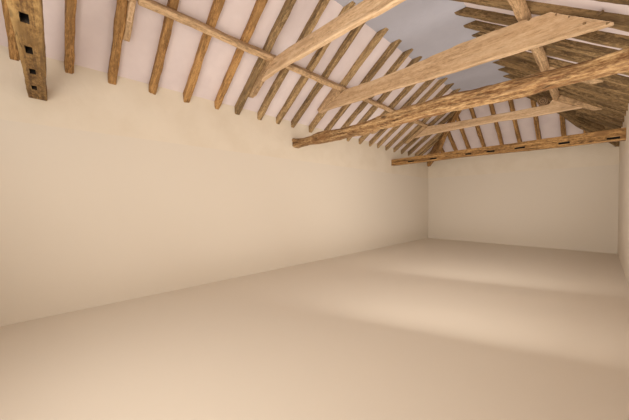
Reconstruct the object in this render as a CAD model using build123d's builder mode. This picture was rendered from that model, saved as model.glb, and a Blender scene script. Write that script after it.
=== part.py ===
from build123d import *
from math import atan, cos, degrees, radians, sqrt, tan
import os

# Exposed oak roof of a small granary, hipped at the far end, in millimetres.
# X runs across the room, Y along it toward the hip, Z up. The undersides of the
# wall heads are at Z = 0, and the whole is centred on the Z axis.

# Driving sizes
HALF_WIDTH = 2360.0  # centre line to the inner face of a side wall
PITCH = 35.5  # of all three slopes, degrees
BAYS = 5  # between trusses, ahead of the hip
RAFTERS_PER_BAY = 4
SPACING = 440.0  # rafter centres
RAFTER_W = 90.0
RAFTER_D = 125.0
EXPOSED = 100.0  # rafter depth that shows below the lining
LINING_T = 20.0
EAVES_Z = 660.0  # rafter underside at the inner wall face
WALL_T = 300.0
OVERHANG = 100.0  # rafter feet past the outer wall face
CEILING_Z = 2015.0  # underside of the flat ceiling
CEILING_T = 20.0
RIDGE_T = 30.0
RIDGE_D = 160.0
HIP_W = 130.0
HIP_DROP = 30.0  # hip rafter below the common rafters, at its foot and head
HIP_BELLY = {
    "left": ((0.0, 225.0), (400.0, 295.0), (690.0, 290.0), (1000.0, 110.0), (1900.0, 60.0)),
    "right": ((0.0, 225.0), (700.0, 210.0), (1000.0, 105.0), (1900.0, 60.0)),
}  # run and drop of the bowed undersides
PLATE_W = 110.0
PLASTER_T = 20.0
PURLIN_W = 80.0  # along the slope
PURLIN_D = 110.0  # square to the slope
PURLIN_RUN = 968.0  # wall face to the upper top edge of the purlin, level
PRINCIPAL_W = 90.0
PRINCIPAL_FOOT = 310.0  # wall face to the cut foot, level
COLLAR_W = 70.0
SLIGHT_PRINCIPAL_W = 66.0  # of the second truss
SLIGHT_COLLAR_W = 58.0
SLIGHT_SEAT = 22.0  # the same collar's underside, level past the lower edge of the purlin
TIE_IN = 160.0  # each end of a tie beam in the wall
TIE_W = 150.0
TIE_D = 180.0
TIE_LOW = 238.0  # underside of the squared tie beams
NEAR_TIE_UP = 48.0  # underside of the near one above the others
NEAR_TIE_D = 150.0
LOG_W = 200.0  # round-edged middle tie beam
MORTICES = 9  # under the near tie
MORTICE_LONG = 130.0
MORTICE_W = 42.0
MORTICE_DEEP = 60.0
STUB_R = 92.0  # short round timber beside the last truss's right purlin
STUB_LONG = 240.0
STUB_GAP = 68.0  # clear of the purlin, level
HOLLOW = 85.0  # dip in the last collar's top where it lies
HOLLOW_SPARE = 14.0  # flat of the dip past the stub, each way
HIP_TRIM = 50.0  # last truss rafter to the point of the hip

# How far each rafter pair has been set off the even spacing, near end first
DRIFT = (0, 0, 0, 0, -20, 0, 20, 65, -15, 0, -15, -90, -20, 0, 0, -60, 0, 20, -25, -40, -20)
# The same across the end slope, left to right: one face of its middle rafter is in line with the ridge
END_DRIFT = (0, 0, -20, -55, -65, (RIDGE_T - RAFTER_W) / 2, -35, -25, 40, 20, 0)
# Steps from the last rafter pair to each jack rafter of the side slopes
JACK_STEPS = {"left": (460, 440, 500, 250, 510), "right": (560, 520, 540, 500)}

# Worked-out sizes
SLOPE = tan(radians(PITCH))
COS = cos(radians(PITCH))
SIN = SLOPE * COS
RAFTER_V = RAFTER_D / COS
LINING_V = EXPOSED / COS
LINING_TOP_V = (EXPOSED + LINING_T) / COS
WALL_OUT = -(WALL_T + OVERHANG)
WALL_H = EAVES_Z - WALL_T * SLOPE - 6.0
RUN = BAYS * RAFTERS_PER_BAY * SPACING
LENGTH = RAFTER_W / 2 + RUN + HIP_TRIM + HALF_WIDTH - WALL_OUT
NEAR = -LENGTH / 2
FIRST = NEAR + RAFTER_W / 2
LAST = FIRST + RUN + DRIFT[-1]
END_FACE = FIRST + RUN + HIP_TRIM + HALF_WIDTH
CEILING_RUN = (CEILING_Z - EAVES_Z) / SLOPE
CEILING_TOP_RUN = (CEILING_Z + CEILING_T - EAVES_Z) / SLOPE
TRUSSES = range(0, BAYS * RAFTERS_PER_BAY + 1, RAFTERS_PER_BAY)
END_COUNT = len(END_DRIFT) // 2
END_MIDDLE = END_DRIFT[END_COUNT]

os.makedirs("parts", exist_ok=True)


def soffit(run, up=0.0):
    """Height over the rafter underside plane, run level from the wall face."""
    return EAVES_Z + run * SLOPE + up


def frame_plane(side, along):
    """Section plane of a slope: its x is the level run from the wall face, its y is up."""
    if side == "left":
        return Plane(origin=(-HALF_WIDTH, along, 0), x_dir=(1, 0, 0), z_dir=(0, -1, 0))
    if side == "right":
        return Plane(origin=(HALF_WIDTH, along, 0), x_dir=(-1, 0, 0), z_dir=(0, 1, 0))
    return Plane(origin=(along, END_FACE, 0), x_dir=(0, -1, 0), z_dir=(-1, 0, 0))


def prism(side, points, start, stop, mode=Mode.ADD):
    """A section in run and height, drawn out along the slope from start to stop."""
    with BuildSketch(frame_plane(side, start)) as section:
        with BuildLine():
            Polyline(*points, close=True)
        make_face()
    forward = 1.0 if side == "right" else -1.0
    extrude(section.sketch, amount=forward * (stop - start), mode=mode)


def hip_plane(side, shift):
    """Upright plane along a hip, moved toward the end slope by shift."""
    turn = 1.0 if side == "left" else -1.0
    step = shift / sqrt(2)
    return Plane(
        origin=(-turn * HALF_WIDTH + turn * step, END_FACE + step, 0),
        x_dir=(0, 0, 1),
        z_dir=(turn, 1, 0),
    )


def rafter_points(top_run):
    return [
        (WALL_OUT, soffit(WALL_OUT)),
        (top_run, soffit(top_run)),
        (top_run, soffit(top_run, RAFTER_V)),
        (WALL_OUT, soffit(WALL_OUT, RAFTER_V)),
    ]


def rafter(side, centre, top_run):
    prism(side, rafter_points(top_run), centre - RAFTER_W / 2, centre + RAFTER_W / 2)


def station(index):
    """Centre of a rafter pair along the room."""
    return FIRST + index * SPACING + DRIFT[index]


# Common rafters, one node for each bay and side
def bay_rafters(side, bay):
    first = bay * RAFTERS_PER_BAY
    count = RAFTERS_PER_BAY + (1 if bay == BAYS - 1 else 0)
    for index in range(first, first + count):
        rafter(side, station(index), HALF_WIDTH - RIDGE_T / 2)


for side in ("left", "right"):
    for bay in range(BAYS):
        with BuildPart() as bay_part:
            bay_rafters(side, bay)
        bay_part.part.label = f"rafters_{side}_bay_{bay + 1}"
        export_step(bay_part.part, f"parts/rafters_{side}_bay_{bay + 1}.step")


# Hip rafters
def hip_rafter(side):
    turn = 1.0 if side == "left" else -1.0
    root = sqrt(2)
    top = RAFTER_V - HIP_W / 2 / root * SLOPE - 1.0
    low_run = WALL_OUT + 20.0
    high_run = HALF_WIDTH + 100.0
    plane = Plane(
        origin=(-turn * HALF_WIDTH, END_FACE, 0), x_dir=(turn, -1, 0), z_dir=(-1, -turn, 0)
    )
    with BuildSketch(plane) as section:
        with BuildLine():
            Polyline(
                (low_run * root, soffit(low_run, -HIP_DROP)),
                *[(run * root, soffit(run, -drop)) for run, drop in HIP_BELLY[side]],
                (high_run * root, soffit(high_run, -HIP_DROP)),
                (high_run * root, soffit(high_run, top)),
                (low_run * root, soffit(low_run, top)),
                close=True,
            )
        make_face()
    extrude(section.sketch, amount=HIP_W / 2, both=True)
    split(bisect_by=Plane(origin=(0, LAST + RAFTER_W / 2, 0), z_dir=(0, 1, 0)), keep=Keep.TOP)
    split(
        bisect_by=Plane(origin=(END_MIDDLE - turn * RAFTER_W / 2, 0, 0), z_dir=(-turn, 0, 0)),
        keep=Keep.TOP,
    )
    with Locations((0, 0, EAVES_Z)):
        Box(
            2 * (HALF_WIDTH - WALL_OUT),
            2 * (END_FACE - WALL_OUT),
            4 * HALF_WIDTH,
            mode=Mode.INTERSECT,
        )


with BuildPart() as hip_rafter_left:
    hip_rafter("left")
hip_rafter_left.part.label = "hip_rafter_left"
export_step(hip_rafter_left.part, "parts/hip_rafter_left.step")

with BuildPart() as hip_rafter_right:
    hip_rafter("right")
hip_rafter_right.part.label = "hip_rafter_right"
export_step(hip_rafter_right.part, "parts/hip_rafter_right.step")


# Jack rafters of the side slopes, cut against the hip rafters
def jack_stations(side):
    steps = JACK_STEPS[side]
    return [LAST + sum(steps[: number + 1]) for number in range(len(steps))]


def jacks(side):
    for centre in jack_stations(side):
        rafter(side, centre, END_FACE - centre + RAFTER_W)
    split(bisect_by=hip_plane(side, -HIP_W / 2), keep=Keep.BOTTOM)


with BuildPart() as jack_rafters_left:
    jacks("left")
jack_rafters_left.part.label = "jack_rafters_left"
export_step(jack_rafters_left.part, "parts/jack_rafters_left.step")

with BuildPart() as jack_rafters_right:
    jacks("right")
jack_rafters_right.part.label = "jack_rafters_right"
export_step(jack_rafters_right.part, "parts/jack_rafters_right.step")


# End slope: the middle rafter reaches the last pair, the others stop at the hips
def end_stations():
    return [(n - END_COUNT) * SPACING + END_DRIFT[n] for n in range(2 * END_COUNT + 1)]


with BuildPart() as hip_end_rafters:
    for centre in end_stations():
        if centre != END_MIDDLE:
            rafter("end", centre, HALF_WIDTH)
    split(bisect_by=hip_plane("left", HIP_W / 2), keep=Keep.TOP)
    split(bisect_by=hip_plane("right", HIP_W / 2), keep=Keep.TOP)
    rafter("end", END_MIDDLE, END_FACE - LAST - RAFTER_W / 2)
hip_end_rafters.part.label = "hip_end_rafters"
export_step(hip_end_rafters.part, "parts/hip_end_rafters.step")


# Ridge board
with BuildPart() as ridge_board:
    ridge_top = soffit(HALF_WIDTH, RAFTER_V)
    with Locations((0, (NEAR + LAST + RAFTER_W / 2) / 2, ridge_top - RIDGE_D / 2)):
        Box(RIDGE_T, LAST + RAFTER_W / 2 - NEAR, RIDGE_D)
ridge_board.part.label = "ridge_board"
export_step(ridge_board.part, "parts/ridge_board.step")


# Tie beams: two squared timbers with empty mortices, and a rough log between them
TIE_NEAR_Y = FIRST + 2.39 * SPACING
TIE_MIDDLE_Y = FIRST + 11.02 * SPACING
TIE_END_Y = FIRST + 19.78 * SPACING
TIE_HALF = HALF_WIDTH + TIE_IN


def squared_tie(centre, low, depth):
    with Locations((0, centre, low + depth / 2)):
        Box(2 * TIE_HALF, TIE_W, depth)


def mortices_under(centre, low, count, length):
    """A row of slots in the underside, at rafter spacing."""
    for number in range(count):
        across = (number - (count - 1) / 2) * 1.09 * SPACING - 50.0
        with Locations((across, centre, low + MORTICE_DEEP / 2)):
            Box(length, MORTICE_W, MORTICE_DEEP, mode=Mode.SUBTRACT)


with BuildPart() as tie_beam_near:
    squared_tie(TIE_NEAR_Y, TIE_LOW + NEAR_TIE_UP, NEAR_TIE_D)
    mortices_under(TIE_NEAR_Y - 12.0, TIE_LOW + NEAR_TIE_UP, MORTICES, MORTICE_LONG)
tie_beam_near.part.label = "tie_beam_near"
export_step(tie_beam_near.part, "parts/tie_beam_near.step")

# Sections of the log: share of the half width, top and underside heights, swing along the room
LOG_SECTIONS = (
    (-1.0, 438.0, 256.0, 0.0),
    (-0.78, 426.0, 252.0, 10.0),
    (-0.46, 402.0, 240.0, 18.0),
    (-0.19, 400.0, 238.0, 6.0),
    (0.03, 438.0, 244.0, -12.0),
    (0.36, 438.0, 252.0, -18.0),
    (0.55, 410.0, 240.0, -8.0),
    (0.74, 404.0, 240.0, 4.0),
    (0.86, 420.0, 248.0, 6.0),
    (1.0, 392.0, 244.0, 0.0),
)


def log_section(share, high, low, swing, corner):
    where = Plane(
        origin=(share * HALF_WIDTH, TIE_MIDDLE_Y + swing, (high + low) / 2),
        x_dir=(0, 1, 0),
        z_dir=(1, 0, 0),
    )
    with BuildSketch(where) as section:
        RectangleRounded(LOG_W - abs(swing), high - low, corner)
    return section.sketch


with BuildPart() as tie_beam_middle:
    loft(sections=[log_section(*values, 55.0) for values in LOG_SECTIONS])
    for values in (LOG_SECTIONS[0], LOG_SECTIONS[-1]):
        extrude(log_section(*values, 55.0), amount=values[0] * TIE_IN)
tie_beam_middle.part.label = "tie_beam_middle"
export_step(tie_beam_middle.part, "parts/tie_beam_middle.step")

# Slots low on the near face of the end tie: share of the half width, length, height
END_SLOTS = (
    (-0.735, 190.0, 54.0),
    (-0.465, 185.0, 54.0),
    (-0.095, 130.0, 54.0),
    (0.105, 165.0, 54.0),
    (0.34, 190.0, 52.0),
    (0.65, 170.0, 40.0),
    (0.935, 170.0, 14.0),
)
# Underside of the end tie, which deepens to the right: share of the half width, drop
END_SAG = ((0.3, 12.0), (0.6, 28.0))
END_DEEPER = 40.0  # at its right end

with BuildPart() as tie_beam_end:
    with BuildSketch(Plane(origin=(0, TIE_END_Y, 0), x_dir=(1, 0, 0), z_dir=(0, -1, 0))):
        with BuildLine():
            Polyline(
                (-TIE_HALF, TIE_LOW + TIE_D),
                (-TIE_HALF, TIE_LOW),
                (0, TIE_LOW),
                *[(share * HALF_WIDTH, TIE_LOW - drop) for share, drop in END_SAG],
                (TIE_HALF, TIE_LOW - END_DEEPER),
                (TIE_HALF, TIE_LOW + TIE_D),
                close=True,
            )
        make_face()
    extrude(amount=TIE_W / 2, both=True)
    for share, length, high in END_SLOTS:
        with Locations((share * HALF_WIDTH, TIE_END_Y - TIE_W / 2, TIE_LOW + high)):
            Box(length, 2 * MORTICE_DEEP, MORTICE_W, mode=Mode.SUBTRACT)
tie_beam_end.part.label = "tie_beam_end"
export_step(tie_beam_end.part, "parts/tie_beam_end.step")


# Wall heads, with pockets for the tie beams and the hip feet
def take_out(*solids):
    for solid in solids:
        add(solid, mode=Mode.SUBTRACT)


def wall_box(low_x, high_x, low_y, high_y):
    with Locations(((low_x + high_x) / 2, (low_y + high_y) / 2, WALL_H / 2)):
        Box(high_x - low_x, high_y - low_y, WALL_H)


TIES = (tie_beam_near.part, tie_beam_middle.part, tie_beam_end.part)

with BuildPart() as wall_head_left:
    wall_box(-HALF_WIDTH - WALL_T, -HALF_WIDTH, NEAR, END_FACE + WALL_T)
    take_out(*TIES, hip_rafter_left.part)
wall_head_left.part.label = "wall_head_left"
export_step(wall_head_left.part, "parts/wall_head_left.step")

with BuildPart() as wall_head_right:
    wall_box(HALF_WIDTH, HALF_WIDTH + WALL_T, NEAR, END_FACE + WALL_T)
    take_out(*TIES, hip_rafter_right.part)
wall_head_right.part.label = "wall_head_right"
export_step(wall_head_right.part, "parts/wall_head_right.step")

with BuildPart() as wall_head_end:
    wall_box(-HALF_WIDTH, HALF_WIDTH, END_FACE, END_FACE + WALL_T)
    take_out(hip_rafter_left.part, hip_rafter_right.part)
wall_head_end.part.label = "wall_head_end"
export_step(wall_head_end.part, "parts/wall_head_end.step")


# Wall plates, their tops cut to the pitch, their ends against the hips
def plate_points():
    inner = -PLASTER_T
    outer = -PLASTER_T - PLATE_W
    return [
        (inner, WALL_H),
        (inner, soffit(inner)),
        (outer, soffit(outer)),
        (outer, WALL_H),
    ]


def side_plate(side):
    prism(side, plate_points(), NEAR, END_FACE + WALL_T)
    split(bisect_by=hip_plane(side, -HIP_W / 2), keep=Keep.BOTTOM)


with BuildPart() as wall_plate_left:
    side_plate("left")
wall_plate_left.part.label = "wall_plate_left"
export_step(wall_plate_left.part, "parts/wall_plate_left.step")

with BuildPart() as wall_plate_right:
    side_plate("right")
wall_plate_right.part.label = "wall_plate_right"
export_step(wall_plate_right.part, "parts/wall_plate_right.step")

with BuildPart() as wall_plate_end:
    prism("end", plate_points(), -HALF_WIDTH - WALL_T, HALF_WIDTH + WALL_T)
    split(bisect_by=hip_plane("left", HIP_W / 2), keep=Keep.TOP)
    split(bisect_by=hip_plane("right", HIP_W / 2), keep=Keep.TOP)
wall_plate_end.part.label = "wall_plate_end"
export_step(wall_plate_end.part, "parts/wall_plate_end.step")


# Gaps between rafters, where plaster fills
def side_gaps(side):
    edges = [station(i) for i in range(len(DRIFT))] + jack_stations(side)
    gaps = [(a + RAFTER_W / 2, b - RAFTER_W / 2) for a, b in zip(edges, edges[1:])]
    return gaps + [(edges[-1] + RAFTER_W / 2, END_FACE + PLASTER_T)]


def end_gaps():
    side = HALF_WIDTH + PLASTER_T + RAFTER_W / 2
    edges = [-side] + end_stations() + [side]
    return [(a + RAFTER_W / 2, b - RAFTER_W / 2) for a, b in zip(edges, edges[1:])]


# Eaves plaster: the wall face carried up between the rafters to the lining
def eaves_strip(side, start, stop, gaps):
    low = [(-PLASTER_T, WALL_H), (0, WALL_H), (0, soffit(0)), (-PLASTER_T, soffit(-PLASTER_T))]
    prism(side, low, start, stop)
    high = [
        (-PLASTER_T, soffit(-PLASTER_T)),
        (0, soffit(0)),
        (0, soffit(0, LINING_V)),
        (-PLASTER_T, soffit(-PLASTER_T, LINING_V)),
    ]
    for a, b in gaps:
        prism(side, high, a, b)


with BuildPart() as eaves_plaster_left:
    eaves_strip("left", NEAR, END_FACE + PLASTER_T, side_gaps("left"))
    split(bisect_by=hip_plane("left", -HIP_W / 2), keep=Keep.BOTTOM)
eaves_plaster_left.part.label = "eaves_plaster_left"
export_step(eaves_plaster_left.part, "parts/eaves_plaster_left.step")

with BuildPart() as eaves_plaster_right:
    eaves_strip("right", NEAR, END_FACE + PLASTER_T, side_gaps("right"))
    split(bisect_by=hip_plane("right", -HIP_W / 2), keep=Keep.BOTTOM)
eaves_plaster_right.part.label = "eaves_plaster_right"
export_step(eaves_plaster_right.part, "parts/eaves_plaster_right.step")

with BuildPart() as eaves_plaster_end:
    eaves_strip("end", -HALF_WIDTH - PLASTER_T, HALF_WIDTH + PLASTER_T, end_gaps())
    split(bisect_by=hip_plane("left", HIP_W / 2), keep=Keep.TOP)
    split(bisect_by=hip_plane("right", HIP_W / 2), keep=Keep.TOP)
eaves_plaster_end.part.label = "eaves_plaster_end"
export_step(eaves_plaster_end.part, "parts/eaves_plaster_end.step")


# Lining panels between the rafters, up to the flat ceiling
def lining_points():
    top = CEILING_Z + CEILING_T
    return [
        (-PLASTER_T, soffit(-PLASTER_T, LINING_V)),
        ((top - EAVES_Z - LINING_V) / SLOPE, top),
        ((top - EAVES_Z - LINING_TOP_V) / SLOPE, top),
        (-PLASTER_T, soffit(-PLASTER_T, LINING_TOP_V)),
    ]


with BuildPart() as lining_left:
    for a, b in side_gaps("left"):
        prism("left", lining_points(), a, b)
    split(bisect_by=hip_plane("left", -HIP_W / 2), keep=Keep.BOTTOM)
lining_left.part.label = "lining_left"
export_step(lining_left.part, "parts/lining_left.step")

with BuildPart() as lining_right:
    for a, b in side_gaps("right"):
        prism("right", lining_points(), a, b)
    split(bisect_by=hip_plane("right", -HIP_W / 2), keep=Keep.BOTTOM)
lining_right.part.label = "lining_right"
export_step(lining_right.part, "parts/lining_right.step")

with BuildPart() as lining_end:
    for a, b in end_gaps():
        prism("end", lining_points(), a, b)
    split(bisect_by=hip_plane("left", HIP_W / 2), keep=Keep.TOP)
    split(bisect_by=hip_plane("right", HIP_W / 2), keep=Keep.TOP)
lining_end.part.label = "lining_end"
export_step(lining_end.part, "parts/lining_end.step")


# Flat ceiling: a level strip between the slopes, with a finger in each rafter gap
def finger_points():
    top = CEILING_Z + CEILING_T
    return [
        ((CEILING_Z - EAVES_Z - LINING_V) / SLOPE, CEILING_Z),
        (CEILING_RUN, CEILING_Z),
        (CEILING_TOP_RUN, top),
        ((top - EAVES_Z - LINING_V) / SLOPE, top),
    ]


def fingers(side, gaps):
    with BuildPart() as found:
        for a, b in gaps:
            prism(side, finger_points(), a, b)
        if side == "end":
            split(bisect_by=hip_plane("left", HIP_W / 2), keep=Keep.TOP)
            split(bisect_by=hip_plane("right", HIP_W / 2), keep=Keep.TOP)
        else:
            split(bisect_by=hip_plane(side, -HIP_W / 2), keep=Keep.BOTTOM)
    return found.part


def reaching(gaps, limit):
    return [(a, b) for a, b in gaps if a < limit]


with BuildPart() as flat_ceiling:
    level = HALF_WIDTH - CEILING_RUN
    level_top = HALF_WIDTH - CEILING_TOP_RUN
    with BuildSketch(Plane(origin=(0, NEAR, 0), x_dir=(1, 0, 0), z_dir=(0, -1, 0))):
        with BuildLine():
            Polyline(
                (-level, CEILING_Z),
                (level, CEILING_Z),
                (level_top, CEILING_Z + CEILING_T),
                (-level_top, CEILING_Z + CEILING_T),
                close=True,
            )
        make_face()
    extrude(amount=-(LENGTH))
    prism(
        "end",
        [
            (CEILING_RUN, CEILING_Z),
            (2 * LENGTH, CEILING_Z),
            (2 * LENGTH, CEILING_Z + CEILING_T),
            (CEILING_TOP_RUN, CEILING_Z + CEILING_T),
        ],
        -HALF_WIDTH,
        HALF_WIDTH,
        mode=Mode.INTERSECT,
    )
    side_limit = END_FACE - CEILING_RUN + EXPOSED
    add(fingers("left", reaching(side_gaps("left"), side_limit)))
    add(fingers("right", reaching(side_gaps("right"), side_limit)))
    add(fingers("end", [(a, b) for a, b in end_gaps() if min(abs(a), abs(b)) < level + EXPOSED]))
    take_out(hip_rafter_left.part, hip_rafter_right.part)
flat_ceiling.part.label = "flat_ceiling"
export_step(flat_ceiling.part, "parts/flat_ceiling.step")


# Purlins: a length for each bay, butting over the trusses
def purlin_points():
    upper = PURLIN_RUN
    lower = PURLIN_RUN - PURLIN_W * COS
    shift = PURLIN_D * SIN
    return [
        (upper, soffit(upper)),
        (lower, soffit(lower)),
        (lower + shift, soffit(lower) - PURLIN_D * COS),
        (upper + shift, soffit(upper) - PURLIN_D * COS),
    ]


HIGH = RAFTERS_PER_BAY  # the second truss's slighter collar rises between the purlins
LAPPED = 3 * RAFTERS_PER_BAY  # the fourth truss stands before its rafter


def principal_width(index):
    return SLIGHT_PRINCIPAL_W if index == HIGH else PRINCIPAL_W


def collar_width(index):
    return SLIGHT_COLLAR_W if index == HIGH else COLLAR_W


def truss_side(index):
    return -1.0 if index == LAPPED else 1.0


def truss_centre(index):
    return station(index) + truss_side(index) * (RAFTER_W + principal_width(index)) / 2


def purlin_end(index, way):
    """Where a purlin stops at a truss: way is -1 before it and 1 after it."""
    reach = collar_width(index) / 2 if index == HIGH else 0.0
    return truss_centre(index) + way * (reach + 2.0)


def purlins(side):
    for index in TRUSSES[:-1]:
        start = NEAR if index == 0 else purlin_end(index, 1)
        stop = purlin_end(index + RAFTERS_PER_BAY, -1)
        if index + RAFTERS_PER_BAY == TRUSSES[-1]:
            stop = truss_centre(TRUSSES[-1]) + PRINCIPAL_W / 2
        prism(side, purlin_points(), start, stop)


with BuildPart() as purlins_left:
    purlins("left")
purlins_left.part.label = "purlins_left"
export_step(purlins_left.part, "parts/purlins_left.step")

with BuildPart() as purlins_right:
    purlins("right")
purlins_right.part.label = "purlins_right"
export_step(purlins_right.part, "parts/purlins_right.step")


# Principals: short deep timbers beside the truss rafters, foot cut off above the eaves
UNDER_RUN = PURLIN_RUN - PURLIN_W * COS  # lower top edge of the purlin
LOW_RUN = UNDER_RUN + PURLIN_D * SIN  # its lower outer corner
LOW_Z = soffit(UNDER_RUN) - PURLIN_D * COS
TOP_RUN = PURLIN_RUN + PURLIN_D * SIN  # its lower inner corner
TOP_Z = soffit(PURLIN_RUN) - PURLIN_D * COS
HIGH_END = (UNDER_RUN, soffit(UNDER_RUN, -10.0))
HIGH_TOP = (1.27 * UNDER_RUN, soffit(1.27 * UNDER_RUN, -10.0))
STUB_RUN = TOP_RUN + STUB_GAP + STUB_R


def end_line(side, index):
    """Underside of a principal, foot first, as run and height: the collar is cut to it."""
    if index == LAPPED and side == "left":
        return [(1.29 * PRINCIPAL_FOOT, soffit(1.29 * PRINCIPAL_FOOT)), (LOW_RUN, LOW_Z - 44.0)]
    if index == HIGH:
        foot = 1.63 * PRINCIPAL_FOOT
        return [(foot, soffit(foot)), (1.1 * foot, soffit(1.1 * foot, -10.0)), HIGH_END]
    return [
        (PRINCIPAL_FOOT, soffit(PRINCIPAL_FOOT)),
        (1.4 * PRINCIPAL_FOOT, soffit(1.4 * PRINCIPAL_FOOT, -76.0)),
        (2.15 * PRINCIPAL_FOOT, soffit(2.15 * PRINCIPAL_FOOT, -98.0)),
        (LOW_RUN, LOW_Z),
    ]


def principal_points(side, index):
    points = end_line(side, index)
    if points[-1][1] < LOW_Z - 1.0:
        points.append((LOW_RUN, LOW_Z))
    back = LINING_V * COS
    return points + [
        (UNDER_RUN, soffit(UNDER_RUN)),
        (UNDER_RUN - back * SIN, soffit(UNDER_RUN) + back * COS),
        (points[0][0] - 60.0, soffit(points[0][0] - 60.0, LINING_V)),
    ]


def principals(side):
    for index in TRUSSES:
        if index == LAPPED and side == "right":
            continue
        near_face = truss_centre(index) - principal_width(index) / 2
        prism(side, principal_points(side, index), near_face, near_face + principal_width(index))


with BuildPart() as principals_left:
    principals("left")
principals_left.part.label = "principals_left"
export_step(principals_left.part, "parts/principals_left.step")

with BuildPart() as principals_right:
    principals("right")
principals_right.part.label = "principals_right"
export_step(principals_right.part, "parts/principals_right.step")


# Collars: cambered timbers under the purlins, their ends cut to the principals
def line_run(points, height):
    """Run at which an end line reaches a height."""
    for (run_a, z_a), (run_b, z_b) in zip(points, points[1:]):
        if z_a <= height <= z_b:
            return run_a + (height - z_a) * (run_b - run_a) / (z_b - z_a)
    return points[0][0]


def collar_end(side, index, tip):
    """Outline of one end, from the tip up to the top corner, as run and height."""
    if index == LAPPED and side == "right":
        high = LOW_Z - 52.0
        return [
            ((tip - EAVES_Z) / SLOPE, tip),
            ((high - EAVES_Z) / SLOPE, high),
            (LOW_RUN, LOW_Z - 20.0),
        ]
    line = end_line(side, index)
    end = [(line_run(line, tip), tip)] + [point for point in line if point[1] > tip]
    if index == LAPPED:
        return end + [(LOW_RUN + 124.0, TOP_Z - 42.0)]
    return end + [HIGH_TOP if index == HIGH else (TOP_RUN, TOP_Z)]


def collar(index, tips, lows, highs):
    """Lows and highs run left to right as share of the half width and depth below the top."""
    left = [(-HALF_WIDTH + run, z) for run, z in collar_end("left", index, TOP_Z - tips[0])]
    right = [(HALF_WIDTH - run, z) for run, z in collar_end("right", index, TOP_Z - tips[1])]
    low = [(share * HALF_WIDTH, TOP_Z - depth) for share, depth in lows]
    high = [(share * HALF_WIDTH, TOP_Z - depth) for share, depth in highs]
    outline = list(reversed(left)) + low + right + list(reversed(high))
    where = Plane(origin=(0, truss_centre(index), 0), x_dir=(1, 0, 0), z_dir=(0, -1, 0))
    with BuildSketch(where) as section:
        with BuildLine():
            Polyline(*outline, close=True)
        make_face()
    extrude(section.sketch, amount=collar_width(index) / 2, both=True)


def share_at(run):
    """Share of the half width at a level run from the wall face."""
    return 1.0 - run / HALF_WIDTH


def save_collar(number, tips, lows, highs):
    with BuildPart() as one:
        collar((number - 1) * RAFTERS_PER_BAY, tips, lows, highs)
    one.part.label = f"collar_{number}"
    export_step(one.part, f"parts/collar_{number}.step")


save_collar(
    1,
    (228.0, 216.0),
    ((-0.5, 196.0), (0.0, 172.0), (0.4, 190.0)),
    ((-0.4, -8.0), (0.1, -14.0)),
)
SEAT = share_at(UNDER_RUN + SLIGHT_SEAT)
save_collar(
    2,
    (137.0, 137.0),
    ((-SEAT, -1.0), (-0.45, -30.0), (0.1, -44.0), (0.45, -28.0), (SEAT, -1.0)),
    ((-0.3, -222.0), (0.25, -236.0)),
)
save_collar(
    3,
    (226.0, 236.0),
    ((-0.52, 200.0), (-0.2, 222.0), (0.02, 212.0), (0.3, 238.0)),
    ((-0.4, -4.0), (-0.2, 14.0), (0.1, 22.0), (0.35, 14.0)),
)
save_collar(
    4,
    (315.0, 448.0),
    ((-0.72, 300.0), (-0.5, 322.0), (-0.15, 336.0), (0.1, 370.0), (0.42, 388.0), (0.7, 412.0)),
    ((-0.3, 76.0), (-0.06, 80.0), (0.12, 58.0), (0.3, 40.0), (0.45, 54.0)),
)
save_collar(
    5,
    (236.0, 226.0),
    ((-0.4, 206.0), (0.0, 196.0), (0.4, 210.0)),
    ((-0.2, 10.0), (0.3, 4.0)),
)
DIP = [share_at(STUB_RUN + way * (STUB_R + HOLLOW_SPARE)) for way in (1, -1)]
save_collar(
    6,
    (262.0, 290.0),
    ((-0.52, 240.0), (-0.2, 244.0), (0.15, 249.0), (0.45, 290.0)),
    ((-0.4, 30.0), (0.0, 60.0), (0.3, 80.0), (DIP[0], HOLLOW), (DIP[1], HOLLOW)),
)

# The short round timber, its near end almost flush with the collar
with BuildPart() as round_stub:
    stub_y = truss_centre(TRUSSES[-1]) - COLLAR_W / 2 + 5.0
    rest = TOP_Z - HOLLOW + STUB_R + 0.2
    where = Plane(origin=(HALF_WIDTH - STUB_RUN, stub_y, rest), x_dir=(1, 0, 0), z_dir=(0, 1, 0))
    with BuildSketch(where):
        Circle(STUB_R)
    extrude(amount=STUB_LONG)
round_stub.part.label = "round_stub"
export_step(round_stub.part, "parts/round_stub.step")
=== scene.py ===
"""Looks of a granary's exposed oak roof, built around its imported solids, in metres."""

import math
import random

import bpy
from mathutils import Matrix, Vector


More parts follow.
